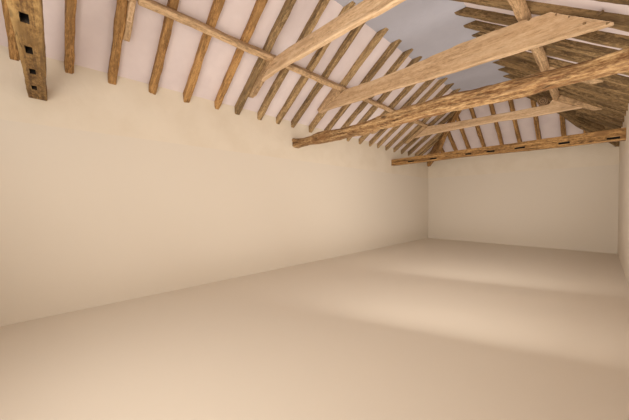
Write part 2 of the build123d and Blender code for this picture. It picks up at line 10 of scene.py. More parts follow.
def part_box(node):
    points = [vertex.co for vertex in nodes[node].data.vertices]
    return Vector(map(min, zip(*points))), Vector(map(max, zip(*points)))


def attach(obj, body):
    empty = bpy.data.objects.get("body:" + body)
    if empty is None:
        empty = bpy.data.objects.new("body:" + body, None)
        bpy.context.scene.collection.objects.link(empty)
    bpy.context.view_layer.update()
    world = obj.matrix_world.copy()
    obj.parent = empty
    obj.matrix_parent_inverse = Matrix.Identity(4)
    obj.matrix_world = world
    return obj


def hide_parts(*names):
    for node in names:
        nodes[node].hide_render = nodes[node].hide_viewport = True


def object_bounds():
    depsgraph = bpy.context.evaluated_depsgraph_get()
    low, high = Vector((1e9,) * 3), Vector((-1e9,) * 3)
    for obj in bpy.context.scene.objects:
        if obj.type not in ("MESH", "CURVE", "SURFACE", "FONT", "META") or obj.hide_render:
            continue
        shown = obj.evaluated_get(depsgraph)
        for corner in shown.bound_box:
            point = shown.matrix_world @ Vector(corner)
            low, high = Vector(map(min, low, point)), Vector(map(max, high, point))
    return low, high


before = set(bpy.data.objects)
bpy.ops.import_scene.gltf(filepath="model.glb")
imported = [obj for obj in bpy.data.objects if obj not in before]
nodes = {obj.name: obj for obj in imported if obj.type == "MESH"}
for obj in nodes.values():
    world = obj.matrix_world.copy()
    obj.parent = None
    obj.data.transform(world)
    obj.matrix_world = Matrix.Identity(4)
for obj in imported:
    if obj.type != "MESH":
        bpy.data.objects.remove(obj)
cad_low, cad_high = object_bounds()
scene = bpy.context.scene

# Sizes that the looks share with the frame
PITCH = math.radians(35.5)
HIP_PITCH = math.atan(math.tan(PITCH) / math.sqrt(2))
WALL_LOW, WALL_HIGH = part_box("wall_head_left")
ROOM_HALF = -WALL_HIGH.x
ROOM_NEAR = WALL_LOW.y
ROOM_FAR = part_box("wall_head_end")[0].y
ROOM_DEPTH = 2.204  # feet of the wall heads above the room's floor
BAYS = 5  # of rafters on each side slope

# Directions up each slope and each hip, and along the room's axes
UP_LEFT = Vector((math.cos(PITCH), 0, math.sin(PITCH)))
UP_RIGHT = Vector((-math.cos(PITCH), 0, math.sin(PITCH)))
UP_END = Vector((0, -math.cos(PITCH), math.sin(PITCH)))
HIP_RUN = math.cos(HIP_PITCH) / math.sqrt(2)  # a hip's part across the room, and along it
UP_HIP_LEFT = Vector((HIP_RUN, -HIP_RUN, math.sin(HIP_PITCH)))
UP_HIP_RIGHT = Vector((-HIP_RUN, -HIP_RUN, math.sin(HIP_PITCH)))
SIDE_SLOPES = (("left", UP_LEFT), ("right", UP_RIGHT))
ACROSS = Vector((1, 0, 0))
ALONG = Vector((0, 1, 0))
UPRIGHT = Vector((0, 0, 1))


# Camera
PHOTO_WIDTH = 629.0
FOCAL_PIXELS = 273.15
SENSOR = 36.0
CLIP_NEAR = 0.02
EYE = Vector((2.044, -4.633, -0.924))
LOOK_YAW = math.radians(46.246)
LOOK_PITCH = math.radians(-1.213)
LOOK_ROLL = math.radians(-0.407)


def add_camera():
    data = bpy.data.cameras.new("camera")
    data.sensor_fit = "HORIZONTAL"
    data.sensor_width = SENSOR
    data.lens = SENSOR * FOCAL_PIXELS / PHOTO_WIDTH
    data.clip_start = CLIP_NEAR
    camera = bpy.data.objects.new("camera", data)
    turn = Matrix.Rotation(LOOK_YAW, 4, "Z")
    tilt = Matrix.Rotation(math.pi / 2 + LOOK_PITCH, 4, "X")
    roll = Matrix.Rotation(LOOK_ROLL, 4, "Z")
    camera.matrix_world = Matrix.Translation(EYE) @ turn @ tilt @ roll
    scene.collection.objects.link(camera)
    scene.camera = camera


add_camera()


# Working with objects and their meshes
MERGE = 0.0002  # corners closer than this become one
FLAT = math.radians(0.5)  # faces that meet at less than this become one
SHARP = 0.87  # cosine between the two faces of an arris, at most
IN_LINE = 0.97  # cosine between an arris and the grain, at least
ARRIS_STEPS = 2


def only(piece):
    """Selects one object and nothing else."""
    bpy.ops.object.select_all(action="DESELECT")
    piece.select_set(True)
    bpy.context.view_layer.objects.active = piece


def edit_picked(piece):
    """Opens a piece for editing, with what is picked on it."""
    only(piece)
    bpy.ops.object.mode_set(mode="EDIT")


def edit_all(piece):
    """Opens a piece for editing, with all of it picked."""
    edit_picked(piece)
    bpy.ops.mesh.select_all(action="SELECT")


def done():
    bpy.ops.object.mode_set(mode="OBJECT")


def pick(piece, kind, wanted):
    """Picks the edges or polygons for which wanted is true, from object mode."""
    mesh = piece.data
    for parts in (mesh.vertices, mesh.edges, mesh.polygons):
        parts.foreach_set("select", [False] * len(parts))
    parts = getattr(mesh, kind)
    parts.foreach_set("select", [bool(wanted(part)) for part in parts])


def copy_of(node, name):
    """A free copy of a node's mesh, its corners merged and its flat faces whole."""
    piece = bpy.data.objects.new(name, nodes[node].data.copy())
    piece.data.materials.clear()
    scene.collection.objects.link(piece)
    edit_all(piece)
    bpy.ops.mesh.remove_doubles(threshold=MERGE)
    bpy.ops.mesh.dissolve_limited(angle_limit=FLAT)
    done()
    return piece


def cut_across(piece, direction, spacing):
    """Cuts every face at even steps along a direction."""
    heights = [vertex.co.dot(direction) for vertex in piece.data.vertices]
    step = min(heights) + spacing
    while step < max(heights) - spacing / 3:
        edit_all(piece)
        bpy.ops.mesh.bisect(plane_co=direction * step, plane_no=direction)
        done()
        step += spacing


def ease_arrises(piece, direction, width, shortest=0.0):
    """Bevels the sharp edges that run along a direction, from a shortest length up."""
    mesh = piece.data
    facing = {}
    for face in mesh.polygons:
        for key in face.edge_keys:
            facing.setdefault(key, []).append(face.normal.copy())

    def is_arris(line):
        start, end = (mesh.vertices[vertex].co for vertex in line.vertices)
        run = end - start
        sides = facing.get(tuple(sorted(line.vertices)), [])
        sharp = len(sides) == 2 and sides[0].dot(sides[1]) < SHARP
        return sharp and run.length > shortest and abs(run.normalized().dot(direction)) > IN_LINE

    pick(piece, "edges", is_arris)
    edit_picked(piece)
    bpy.ops.mesh.bevel(offset=width, segments=ARRIS_STEPS, affect="EDGES")
    done()


def apply_all(piece):
    only(piece)
    for modifier in list(piece.modifiers):
        bpy.ops.object.modifier_apply(modifier=modifier.name)


def grain_frame(direction):
    """Turn whose X axis runs along the grain."""
    return direction.to_track_quat("X", "Z")


def roughen(piece, direction, reach, size, amount, ways="RGB_TO_XYZ", depth=1):
    """Moves the surface by a noise drawn out along the grain: reach along it, size across it.

    With the ways RGB_TO_XYZ it moves in any direction, and with NORMAL only in or out.
    """
    guide = bpy.data.objects.new("guide", None)
    scene.collection.objects.link(guide)
    guide.rotation_euler = grain_frame(direction).to_euler()
    guide.scale = (reach, size, size)
    noise = bpy.data.textures.new("noise", "CLOUDS")
    noise.noise_scale = 1.0
    noise.noise_depth = depth
    noise.cloud_type = "COLOR" if ways == "RGB_TO_XYZ" else "GRAYSCALE"
    bpy.context.view_layer.update()
    shift = piece.modifiers.new("roughen", "DISPLACE")
    shift.texture = noise
    shift.texture_coords = "OBJECT"
    shift.texture_coords_object = guide
    shift.direction = ways
    shift.strength = amount
    shift.mid_level = 0.5
    apply_all(piece)
    bpy.data.objects.remove(guide)
    bpy.data.textures.remove(noise)


def remesh(piece, voxel):
    """Covers a piece with small even faces."""
    even = piece.modifiers.new("even", "REMESH")
    even.mode = "VOXEL"
    even.voxel_size = voxel
    apply_all(piece)


def mark_timbers(piece, seed):
    """Gives each separate timber in a mesh its own number between 0 and 1, for its material."""
    mesh = piece.data
    root = list(range(len(mesh.vertices)))

    def find(vertex):
        while root[vertex] != vertex:
            root[vertex] = root[root[vertex]]
            vertex = root[vertex]
        return vertex

    for line in mesh.edges:
        root[find(line.vertices[0])] = find(line.vertices[1])
    draw = random.Random(seed)
    numbers = {}
    for vertex in range(len(root)):
        numbers.setdefault(find(vertex), draw.random())
    timber = mesh.attributes.new("timber", "FLOAT", "POINT")
    timber.data.foreach_set("value", [numbers[find(vertex)] for vertex in range(len(root))])


def smooth(piece, angle=50):
    only(piece)
    bpy.ops.object.shade_smooth_by_angle(angle=math.radians(angle))


def keep_in_box(piece):
    """Brings what roughening moved out of the CAD box back to its sides."""
    for vertex in piece.data.vertices:
        for axis in range(3):
            vertex.co[axis] = min(max(vertex.co[axis], cad_low[axis]), cad_high[axis])
    piece.data.update()


def finish_piece(piece, material, slot, *replaced):
    """Gives a piece its material and its body, and hides the nodes that it stands for; the slot is
    not used.
    """
    keep_in_box(piece)
    piece.data.materials.clear()
    piece.data.materials.append(material)
    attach(piece, "root")
    if replaced:
        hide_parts(*replaced)


# Materials
MIDDLE = 0.5  # of a noise, and of the numbers that tell timbers apart
SOCKETS = dict(colour="Base Color", rough="Roughness", gloss="Specular IOR Level", normal="Normal")


def opaque(colour, share=1.0):
    """A share of a colour, with no part of it see-through."""
    return (*[share * part for part in colour], 1.0)


class Shader:
    """A material's node tree, built up one node at a time."""

    def __init__(self, name):
        self.material = bpy.data.materials.new(name)
        self.material.use_nodes = True
        self.tree = self.material.node_tree
        self.surface = self.tree.nodes["Principled BSDF"]

    def put(self, socket, value):
        if isinstance(value, bpy.types.NodeSocket):
            self.tree.links.new(value, socket)
        else:
            socket.default_value = value

    def dress(self, **values):
        """Sets the surface's sockets, each to a value or a pattern."""
        for name, value in values.items():
            self.put(self.surface.inputs[SOCKETS[name]], value)

    def node(self, kind, inputs=None, **settings):
        made = self.tree.nodes.new("ShaderNode" + kind)
        for key, value in settings.items():
            setattr(made, key, value)
        for key, value in (inputs or {}).items():
            self.put(made.inputs[key], value)
        return made

    def math(self, operation, first, second=0.0):
        return self.node("Math", {0: first, 1: second}, operation=operation).outputs[0]

    def times(self, first, second):
        return self.math("MULTIPLY", first, second)

    def sum_of(self, first, *others):
        for other in others:
            first = self.math("ADD", first, other)
        return first

    def blend(self, share, first, second):
        made = self.node("Mix", data_type="RGBA")
        self.put(made.inputs[0], share)
        self.put(made.inputs[6], first)
        self.put(made.inputs[7], second)
        return made.outputs[2]

    def ramp(self, value, *stops):
        made = self.node("ValToRGB", {"Fac": value})
        elements = made.color_ramp.elements
        while len(elements) < len(stops):
            elements.new(MIDDLE)
        for element, (position, colour) in zip(elements, stops):
            element.position = position
            element.color = opaque(colour)
        return made.outputs[0]

    def noise(self, place, detail=3.0, rough=0.55, scale=1.0, warp=0.0):
        inputs = dict(Vector=place, Scale=scale, Detail=detail, Roughness=rough, Distortion=warp)
        return self.node("TexNoise", inputs).outputs[0]

    def line_mask(self, value, width):
        """One where a noise passes its middle, falling to zero at width: thin wandering lines."""
        off = self.math("ABSOLUTE", self.math("SUBTRACT", value, MIDDLE))
        return self.span(off, 0.0, width, 1.0, 0.0)

    def span(self, value, low, high, to_low=0.0, to_high=1.0):
        """Eases from one result to another while a value goes from low to high."""
        inputs = {0: value, 1: low, 2: high, 3: to_low, 4: to_high}
        return self.node("MapRange", inputs, interpolation_type="SMOOTHSTEP").outputs[0]

    def stretched(self, turn, drawn_out, shift):
        """Object coordinates, turned to the grain and drawn out along it."""
        length, width = drawn_out
        place = self.node("TexCoord").outputs["Object"]
        inputs = {"Vector": place, "Rotation": turn, "Scale": (length, width, width)}
        drawn = self.node("Mapping", inputs, vector_type="TEXTURE").outputs[0]
        return self.node("VectorMath", {0: drawn, 1: shift}, operation="ADD").outputs[0]

    def bump(self, height, distance, strength=1.0, under=None):
        inputs = {"Height": height, "Distance": distance, "Strength": strength}
        if under is not None:
            inputs["Normal"] = under
        return self.node("Bump", inputs).outputs[0]


# The oak's patterns: their length along the grain and width across it
FIGURE = (0.9, 0.055)
FIBRE = (0.22, 0.007)
MOTTLE = (0.06, 0.022)
STAINS = (0.45, 0.16)
SHAKES = (0.85, 0.045)
SHAKEN = (0.6, 0.2)
KNOTS = (0.42, 0.13)
FLECKS = (0.05, 0.0045)
SCALLOPS = (0.15, 0.085)

# Stretches of a noise, or of the surface's own shape, over which each of them comes or goes
STAIN_SPAN = (0.5, 0.72)
SHAKEN_SPAN = (0.47, 0.62)
KNOT_SPAN = (0.07, 0.2)
KNOTTY_SPAN = (0.5, 0.6)
FLECK_SPAN = (0.57, 0.7)
WORN_SPAN = (0.505, 0.56)
HOLLOW_SHADE_SPAN = (0.43, 0.492)
FIBRE_SPAN = (0.3, 0.7)
SHAKE_WIDTH = 0.02  # of its noise, to either side of the middle

# Shares of the patterns in the tone, and of the step from one timber's tone to another's
FIGURE_SHARE = 0.35
FIBRE_SHARE = 0.25
MOTTLE_SHARE = 0.4
TIMBER_SHARE = 0.05
TIMBER_SHIFT = 31.0  # moves the patterns on from one timber to another

# Worn arrises, as a share of the pale tone, and dark places, as shares of the dark one: painted
# shade in the hollows, then flecks, knots and shakes
WORN_PALE = 1.12
WORN_MOST = 0.5  # how far the paler tone covers what is under it
HOLLOW_SHADE_DARK = 0.45
FLECK_DARK = 0.6
KNOT_DARK = 0.35
SHAKE_DARK = 0.22

# Relief: depths in metres, the figure's part in it, and how soft and how strong the scallops are
SCALLOP_DEEP = 0.012
SCALLOP_SOFT = 0.25
SCALLOP_STRONG = 0.6
FIGURE_DEEP = 0.006
FIGURE_PART = 0.6
FIBRE_DEEP = 0.0016

# Roughness of the fibre's dark and pale lines, under and over the oak's own
SMOOTHER = 0.1
ROUGHER = 0.14


def oak(
    name,
    direction,
    pale,
    mid,
    dark,
    stain,
    shakes=0.5,
    knots=0.5,
    rough=0.72,
    relief=1.0,
    spread=0.055,
    flecks=0.4,
    hollow_shading=0.75,
):
    """Old oak: streaks and fibre along the grain, flecks, drying shakes, knots, stains, scallops
    left by the adze, lighter arrises, painted shade in the hollows, and a tone for each timber."""
    look = Shader(name)
    turn = grain_frame(direction).to_euler()
    timber = look.node("Attribute", attribute_name="timber").outputs["Fac"]
    scaled = look.times(timber, TIMBER_SHIFT)
    shift = look.node("CombineXYZ", {0: scaled, 1: scaled, 2: scaled}).outputs[0]

    def pattern(drawn_out, **settings):
        return look.noise(look.stretched(turn, drawn_out, shift), **settings)

    def cells(drawn_out, **settings):
        inputs = {"Vector": look.stretched(turn, drawn_out, shift), "Scale": 1.0}
        return look.node("TexVoronoi", inputs, **settings)

    figure = pattern(FIGURE, detail=4.0, warp=0.4)
    fibre = pattern(FIBRE, detail=3.0, rough=0.65)
    mottle = pattern(MOTTLE, detail=4.0, rough=0.7)
    stained = look.span(pattern(STAINS, detail=3.0), *STAIN_SPAN)

    lines = look.line_mask(pattern(SHAKES, detail=2.5, rough=0.5, warp=0.25), SHAKE_WIDTH)
    cracks = look.times(look.times(lines, look.span(pattern(SHAKEN), *SHAKEN_SPAN)), shakes)

    knot_cells = cells(KNOTS)
    knot = look.span(knot_cells.outputs["Distance"], *KNOT_SPAN, 1.0, 0.0)
    knotty = look.span(look.noise(knot_cells.outputs["Position"]), *KNOTTY_SPAN)
    knot = look.times(look.times(knot, knotty), knots)

    fleck = look.times(look.span(pattern(FLECKS, detail=2.0, rough=0.6), *FLECK_SPAN), flecks)
    scallops = cells(SCALLOPS, feature="SMOOTH_F1")
    scallops.inputs["Smoothness"].default_value = SCALLOP_SOFT
    shape = look.node("NewGeometry").outputs["Pointiness"]
    worn = look.times(look.span(shape, *WORN_SPAN), WORN_MOST)
    # Painted shade: the hollows of the surface's shape are darkened towards the dark tone
    hollow_shade = look.times(look.span(shape, *HOLLOW_SHADE_SPAN, 1.0, 0.0), hollow_shading)

    tone = look.sum_of(
        look.times(figure, FIGURE_SHARE),
        look.times(fibre, FIBRE_SHARE),
        look.times(mottle, MOTTLE_SHARE),
        look.times(look.math("SUBTRACT", timber, MIDDLE), TIMBER_SHARE),
    )
    colour = look.ramp(tone, (MIDDLE - spread, dark), (MIDDLE, mid), (MIDDLE + spread, pale))
    colour = look.blend(stained, colour, opaque(stain))
    colour = look.blend(worn, colour, opaque(pale, WORN_PALE))
    colour = look.blend(hollow_shade, colour, opaque(dark, HOLLOW_SHADE_DARK))
    colour = look.blend(fleck, colour, opaque(dark, FLECK_DARK))
    colour = look.blend(knot, colour, opaque(dark, KNOT_DARK))
    colour = look.blend(cracks, colour, opaque(dark, SHAKE_DARK))

    coarse = look.math("SUBTRACT", look.times(figure, FIGURE_PART), cracks)
    normal = look.bump(scallops.outputs["Distance"], SCALLOP_DEEP, SCALLOP_STRONG)
    normal = look.bump(coarse, FIGURE_DEEP * relief, under=normal)
    normal = look.bump(fibre, FIBRE_DEEP * relief, under=normal)
    roughness = look.span(fibre, *FIBRE_SPAN, rough - SMOOTHER, rough + ROUGHER)
    look.dress(colour=colour, rough=roughness, gloss=0.3, normal=normal)
    return look.material


# Plaster: the marks of the trowel, and the clouding and grain of the paint
TROWEL_DEEP = 0.012
PAINT_DEEP = 0.0009
PLASTER_STRONG = 0.5
CLOUD_SPAN = (0.35, 0.7)
GRAIN_SPAN = (0.3, 0.7)
PLASTER_ROUGH = (0.82, 0.95)


def plaster(name, light, shade, relief=1.0):
    """Trowelled plaster: broad soft unevenness, fine grain, and faint clouding in the paint."""
    look = Shader(name)
    place = look.node("TexCoord").outputs["Object"]
    cloud = look.noise(place, detail=3.0, scale=2.2)
    trowel = look.noise(place, detail=2.0, scale=5.5, warp=0.6)
    grain = look.noise(place, detail=3.0, rough=0.6, scale=160.0)
    colour = look.blend(look.span(cloud, *CLOUD_SPAN), opaque(light), opaque(shade))
    normal = look.bump(trowel, TROWEL_DEEP * relief, PLASTER_STRONG)
    normal = look.bump(grain, PAINT_DEEP * relief, PLASTER_STRONG, under=normal)
    roughness = look.span(grain, *GRAIN_SPAN, *PLASTER_ROUGH)
    look.dress(colour=colour, rough=roughness, gloss=0.2, normal=normal)
    return look.material


# Oak tones, as linear colours. The rafters of the left slope have RAFTER_TONES in the near bays
# and darker olive tones in the others, and those of the right slope darker tones still; both
# darker sets are painted shade.
RAFTER_TONES = dict(
    pale=(0.54, 0.31, 0.12),
    mid=(0.27, 0.132, 0.043),
    dark=(0.065, 0.029, 0.01),
    stain=(0.17, 0.09, 0.034),
)
# Darker olive oak for the far bays of the left slope: painted shade, for the shade on their
# undersides
OLIVE_SHADE_TONES = dict(
    pale=(0.50, 0.34, 0.17),
    mid=(0.185, 0.112, 0.05),
    dark=(0.045, 0.025, 0.011),
    stain=(0.11, 0.07, 0.036),
)
# Darker oak for the rafters of the right slope and its hip: painted shade, for the shade that
# falls on that slope
PAINTED_SHADE_TONES = dict(
    pale=(0.33, 0.215, 0.1),
    mid=(0.125, 0.075, 0.03),
    dark=(0.036, 0.019, 0.008),
    stain=(0.08, 0.05, 0.022),
)
PURLIN_TONES = dict(
    pale=(0.66, 0.46, 0.27),
    mid=(0.42, 0.265, 0.14),
    dark=(0.17, 0.095, 0.043),
    stain=(0.28, 0.175, 0.095),
)
COLLAR_TONES = dict(
    pale=(0.80, 0.60, 0.40),
    mid=(0.67, 0.46, 0.275),
    dark=(0.40, 0.24, 0.12),
    stain=(0.54, 0.355, 0.205),
)
# Darker oak for the fourth collar: painted shade, for the shade that falls across its face
COLLAR_SHADE_TONES = dict(
    pale=(0.73, 0.54, 0.35),
    mid=(0.61, 0.41, 0.24),
    dark=(0.36, 0.215, 0.105),
    stain=(0.49, 0.315, 0.178),
)
LOG_TONES = dict(
    pale=(0.6, 0.41, 0.215),
    mid=(0.38, 0.225, 0.098),
    dark=(0.15, 0.066, 0.024),
    stain=(0.24, 0.115, 0.043),
)
NEAR_TONES = dict(
    pale=(0.4, 0.26, 0.105),
    mid=(0.26, 0.15, 0.052),
    dark=(0.11, 0.056, 0.019),
    stain=(0.19, 0.11, 0.04),
)
END_TONES = dict(
    pale=(0.52, 0.30, 0.12),
    mid=(0.31, 0.165, 0.055),
    dark=(0.08, 0.036, 0.013),
    stain=(0.2, 0.1, 0.036),
)
# Near-black oak on the inner faces of the mortices: painted shade, for the shade that fills them
MORTICE_SHADE_TONES = dict(
    pale=(0.06, 0.036, 0.018),
    mid=(0.025, 0.015, 0.008),
    dark=(0.008, 0.005, 0.003),
    stain=(0.02, 0.012, 0.006),
)
PEG_TONES = dict(
    pale=(0.3, 0.19, 0.095),
    mid=(0.11, 0.062, 0.028),
    dark=(0.03, 0.016, 0.008),
    stain=(0.07, 0.04, 0.018),
)
SAWN_TONES = dict(
    pale=(0.4, 0.28, 0.17),
    mid=(0.29, 0.19, 0.11),
    dark=(0.15, 0.09, 0.05),
    stain=(0.22, 0.15, 0.09),
)


# Rafters: hewn poles, a little waney, each with its own bend
NEAR_BAYS = (1, 2)


def hewn(node, direction, name, tones, slot, seed, wander=0.03, ease=0.014, step=0.06):
    """A node's timbers, their arrises eased by a width and their faces cut at each step, bent
    along the grain by as much as they wander."""
    piece = copy_of(node, name)
    ease_arrises(piece, direction, ease)
    cut_across(piece, direction, step)
    mark_timbers(piece, seed)
    roughen(piece, direction, reach=1.4, size=0.3, amount=wander)
    roughen(piece, direction, reach=0.3, size=0.08, amount=0.02)
    roughen(piece, direction, reach=0.1, size=0.03, amount=0.008, ways="NORMAL")
    smooth(piece)
    finish_piece(piece, oak(name + "_oak", direction, **tones), slot, node)


# A slope's rafter tones: the darker sets paint the shade on the far bays of the left slope and on
# all of the right slope
def rafter_tones(side, bay):
    if side == "right":
        return PAINTED_SHADE_TONES
    return RAFTER_TONES if bay in NEAR_BAYS else OLIVE_SHADE_TONES


def add_rafters():
    for side, direction in SIDE_SLOPES:
        for bay in range(1, BAYS + 1):
            node = f"rafters_{side}_bay_{bay}"
            hewn(node, direction, f"hewn_{node}", rafter_tones(side, bay), "rafter_oak", seed=bay)
        tones = rafter_tones(side, BAYS)
        hewn(f"jack_rafters_{side}", direction, f"hewn_jacks_{side}", tones, "rafter_oak", seed=6)
    hewn("hip_end_rafters", UP_END, "hewn_end_rafters", RAFTER_TONES, "rafter_oak", seed=7)
    # The right hip gets the darker tones of painted shade, like its slope
    for side, direction, tones, seed in (
        ("left", UP_HIP_LEFT, RAFTER_TONES, 8),
        ("right", UP_HIP_RIGHT, PAINTED_SHADE_TONES, 9),
    ):
        node = f"hip_rafter_{side}"
        hewn(node, direction, f"hewn_hip_{side}", tones, "rafter_oak", seed, wander=0.02)


add_rafters()


# Purlins and principals
def add_slope_timbers():
    for side, direction in SIDE_SLOPES:
        for kind, grain, slot, seed, wander, ease in (
            ("purlins", ALONG, "purlin_oak", 11, 0.018, 0.012),
            ("principals", direction, "rafter_oak", 12, 0.012, 0.01),
        ):
            node = f"{kind}_{side}"
            hewn(node, grain, f"hewn_{node}", PURLIN_TONES, slot, seed, wander, ease)


add_slope_timbers()


# Collars: cleaned oak with soft arrises, one of them in a darker tone that paints the shade
# falling on it
COLLARS = 6
SHADED_COLLAR = 4
COLLAR_VOXEL = 0.014


def add_collars():
    finish = dict(shakes=0.3, knots=0.6, rough=0.6, relief=0.6, spread=0.13, flecks=0.1)
    usual = oak("collar_oak", ACROSS, **finish, **COLLAR_TONES)
    shaded_oak = oak("shaded_collar_oak", ACROSS, **finish, **COLLAR_SHADE_TONES)
    for number in range(1, COLLARS + 1):
        piece = copy_of(f"collar_{number}", f"cleaned_collar_{number}")
        remesh(piece, COLLAR_VOXEL)
        mark_timbers(piece, seed=20 + number)
        roughen(piece, ACROSS, reach=0.9, size=0.3, amount=0.02)
        roughen(piece, ACROSS, reach=0.3, size=0.06, amount=0.006)
        smooth(piece)
        # The fourth collar's darker oak is painted shade
        material = shaded_oak if number == SHADED_COLLAR else usual
        finish_piece(piece, material, "cleaned_oak", f"collar_{number}")


add_collars()


# Tie beams
LOG_VOXEL = 0.013
SKIN = 0.003  # an inner face of a mortice lies at least this far within the timber
END_TIE_LOW = 0.238  # underside of the end tie at its left
MORTICE_HIGH = 0.062  # of a mortice's top over the near tie's underside, at most
SQUARE = 0.98  # cosine between a mortice's side and an axis, at least
TIE_EASE = 0.012
TIE_ARRIS = 0.3  # shorter edges, such as those of a mortice, stay crisp
TIE_STEPS = ((ACROSS, 0.05), (ALONG, 0.03), (UPRIGHT, 0.03))


def squared_tie(node, name, materials, slot, seed, wander, heights):
    """A hewn tie whose mortices, between two heights, keep crisp corners and get near-black oak on
    their sides, which paints the shade inside them.
    """
    piece = copy_of(node, name)
    ease_arrises(piece, ACROSS, TIE_EASE, TIE_ARRIS)
    for direction, step in TIE_STEPS:
        cut_across(piece, direction, step)
    low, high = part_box(node)

    def in_mortice(face):
        square = max(abs(part) for part in face.normal) > SQUARE
        in_width = low.y + SKIN < face.center.y < high.y - SKIN
        in_length = abs(face.center.x) < high.x - SKIN
        return square and in_width and in_length and heights[0] < face.center.z < heights[1]

    holes = [face.index for face in piece.data.polygons if in_mortice(face)]
    mark_timbers(piece, seed)
    roughen(piece, ACROSS, reach=0.9, size=0.35, amount=wander)
    roughen(piece, ACROSS, reach=0.14, size=0.08, amount=0.008)
    smooth(piece, angle=40)
    surface, mortice_shade = materials
    finish_piece(piece, surface, slot, node)
    # Painted shade: the mortices' inner faces get the near-black material
    piece.data.materials.append(mortice_shade)
    for index in holes:
        piece.data.polygons[index].material_index = 1


def add_log():
    """The middle tie, a rough log."""
    log = copy_of("tie_beam_middle", "rough_tie_middle")
    remesh(log, LOG_VOXEL)
    mark_timbers(log, seed=31)
    roughen(log, ACROSS, reach=0.5, size=0.3, amount=0.05)
    roughen(log, ACROSS, reach=0.35, size=0.07, amount=0.045, ways="NORMAL", depth=2)
    roughen(log, ACROSS, reach=0.3, size=0.03, amount=0.007, ways="NORMAL", depth=2)
    smooth(log)
    finish = dict(shakes=1.0, knots=0.7, relief=2.0, spread=0.09, flecks=0.25, hollow_shading=0.22)
    material = oak("log_oak", ACROSS, **finish, **LOG_TONES)
    finish_piece(log, material, "dark_oak", "tie_beam_middle")


def add_squared_ties():
    finish = dict(shakes=0.7, relief=1.3, spread=0.08, flecks=0.25)
    near_oak = oak("near_tie_oak", ACROSS, hollow_shading=0.25, **finish, **NEAR_TONES)
    end_oak = oak("end_tie_oak", ACROSS, hollow_shading=0.6, **finish, **END_TONES)
    # Near-black oak that paints the shade inside the mortices
    dark = oak("mortice_shade_oak", ACROSS, **MORTICE_SHADE_TONES)
    near_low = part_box("tie_beam_near")[0].z
    end_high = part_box("tie_beam_end")[1].z
    squared_tie(
        "tie_beam_near",
        "hewn_tie_near",
        (near_oak, dark),
        "dark_oak",
        seed=32,
        wander=0.02,
        heights=(near_low + SKIN, near_low + MORTICE_HIGH),
    )
    squared_tie(
        "tie_beam_end",
        "hewn_tie_end",
        (end_oak, dark),
        "honey_oak",
        seed=33,
        wander=0.022,
        heights=(END_TIE_LOW + SKIN, end_high - SKIN),
    )


add_log()
add_squared_ties()


# The short round timber that lies on the last collar
STUB_VOXEL = 0.008
RINGS = {"Scale": 9.0, "Distortion": 2.5, "Detail": 2.0, "Detail Scale": 3.0}
RINGS_SHARE = 0.55
GRAIN_SHARE = 0.45
RING_DEEP = 0.003
RING_TONES = (
    (0.25, (0.06, 0.033, 0.016)),
    (0.5, (0.2, 0.115, 0.055)),
    (0.75, (0.36, 0.225, 0.12)),
)


def stub_oak():
    """Dark oak with the rings of the cut end, centred on the stub."""
    look = Shader("stub_oak")
    low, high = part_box("round_stub")
    place = look.node("TexCoord").outputs["Object"]
    inputs = {"Vector": place, "Location": (low + high) / 2}
    centred = look.node("Mapping", inputs, vector_type="TEXTURE").outputs[0]
    inputs = {"Vector": centred, **RINGS}
    rings = look.node("TexWave", inputs, wave_type="RINGS", rings_direction="Y").outputs["Fac"]
    grain = look.noise(place, detail=4.0, rough=0.65, scale=90.0)
    tone = look.sum_of(look.times(rings, RINGS_SHARE), look.times(grain, GRAIN_SHARE))
    colour = look.ramp(tone, *RING_TONES)
    look.dress(colour=colour, rough=0.8, normal=look.bump(tone, RING_DEEP))
    return look.material


def add_stub():
    stub = copy_of("round_stub", "round_stub_end")
    remesh(stub, STUB_VOXEL)
    mark_timbers(stub, seed=51)
    roughen(stub, ALONG, reach=0.3, size=0.1, amount=0.008)
    smooth(stub)
    finish_piece(stub, stub_oak(), "dark_oak", "round_stub")


add_stub()


# Oak pegs, their ends a little proud: places across the room and heights on the near faces
COLLAR_PEGS = (
    (1.459, 1.176),
    (1.682, 1.1146),
    (1.812, 1.0388),
    (1.918, 0.9154),
    (2.028, 0.9711),
    (2.089, 0.841),
)
END_TIE_PEGS = (
    (-1.525, 0.38),
    (-0.024, 0.40),
    (1.811, 0.369),
    (1.859, 0.40),
)
PEG_SIDES = 10
PEG_RADIUS = 0.014
PEG_LONG = 0.05
PEG_PROUD = 0.009
PEG_EASE = PEG_RADIUS * 0.3
AT_END = 0.001  # corners closer than this to the plane of a peg's end belong to it


def peg(x, face, z, number):
    """A peg with an eased end, driven in from the near side and turned by its number."""
    middle = face - PEG_PROUD + PEG_LONG / 2
    near = middle - PEG_LONG / 2
    bpy.ops.object.select_all(action="DESELECT")
    bpy.ops.mesh.primitive_cylinder_add(
        vertices=PEG_SIDES,
        radius=PEG_RADIUS,
        depth=PEG_LONG,
        location=(x, middle, z),
        rotation=(math.pi / 2, 0, number),
    )
    made = bpy.context.object
    bpy.ops.object.transform_apply(location=True, rotation=True, scale=True)

    def at_near_end(line):
        ends = [made.data.vertices[vertex].co for vertex in line.vertices]
        return all(abs(end.y - near) < AT_END for end in ends)

    pick(made, "edges", at_near_end)
    edit_picked(made)
    bpy.ops.mesh.bevel(offset=PEG_EASE, segments=ARRIS_STEPS, affect="EDGES")
    done()
    return made


